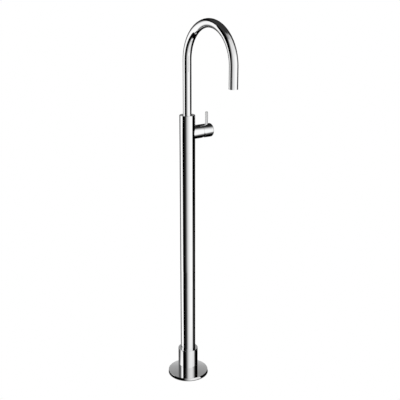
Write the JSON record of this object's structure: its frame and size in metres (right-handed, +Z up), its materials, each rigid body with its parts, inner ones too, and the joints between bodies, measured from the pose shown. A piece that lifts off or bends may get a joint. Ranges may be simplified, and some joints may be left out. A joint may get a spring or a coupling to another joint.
{
  "type": "floor-standing basin mixer",
  "caption": "Tall chrome column tap on a round floor flange, with a swivelling swan-neck spout and a side valve worked by a turning and tilting cap with a slim upright pin.",
  "frame": {"origin": "centre of the floor fitting's underside, on the column's axis at the floor", "axes": "+Z up the column, the spout reaches towards -Y, the valve barrel stands out towards +X"},
  "size_m": [0.1515, 0.303, 1.1655],
  "materials": {
    "chrome": "polished chrome plate on brass",
    "bare_brass": "turned, unplated",
    "steel": "stainless",
    "rubber": "matt",
    "plastic": "moulded",
    "ceramic_disc": "lapped"
  },
  "bodies": {
    "column": {"floor_plate": "bare_brass", "floor_fitting": "bare_brass", "flange_gasket": "rubber", "base_flange": "chrome", "base_collar": "chrome", "collar_ring": "rubber", "lock_screws": "steel", "column_pipe": "chrome", "supply_pipes": "steel", "supply_seals": "rubber", "valve_housing": "chrome", "slide_ring": "plastic", "stop_screw": "steel", "cartridge_bottom": "plastic", "port_seals": "rubber", "cartridge_case": "plastic", "fixed_disc": "ceramic_disc", "cartridge_nut": "bare_brass", "dome_cover": "chrome"},
    "spout": {"spout_tube": "chrome", "spout_foot": "bare_brass", "foot_seals": "rubber", "outlet_insert": "bare_brass", "aerator_shell": "chrome", "jet_former": "plastic", "aerator_washer": "rubber"},
    "rotor": {"cartridge_rotor": "plastic", "tilt_pin": "steel"},
    "handle": {"lever_stem": "steel", "handle_cap": "chrome", "lever_pin": "chrome", "cap_screw": "steel"},
    "sliding_disc": {"disc_carrier": "plastic", "moving_disc": "ceramic_disc"}
  },
  "joints": [
    {"name": "spout_swivel", "type": "hinge", "parent": "column", "child": "spout", "pos_m": [0, 0, 0.86], "axis": [0, 0, 1], "range_deg": [-60, 60]},
    {"name": "temperature_turn", "type": "hinge", "parent": "column", "child": "rotor", "pos_m": [0.05, 0, 0.819], "axis": [1, 0, 0], "range_deg": [-45, 45]},
    {"name": "flow_tilt", "type": "hinge", "parent": "rotor", "child": "handle", "pos_m": [0.05, 0, 0.819], "axis": [0, 1, 0], "range_deg": [0, 22]},
    {"name": "disc_slide", "type": "slide", "parent": "rotor", "child": "sliding_disc", "axis": [0, 0, 1], "range_m": [0, 0.0044]}
  ],
  "couplings": [
    {"joint": "disc_slide", "follows": "flow_tilt", "m_per_rad": 0.011415}
  ]
}
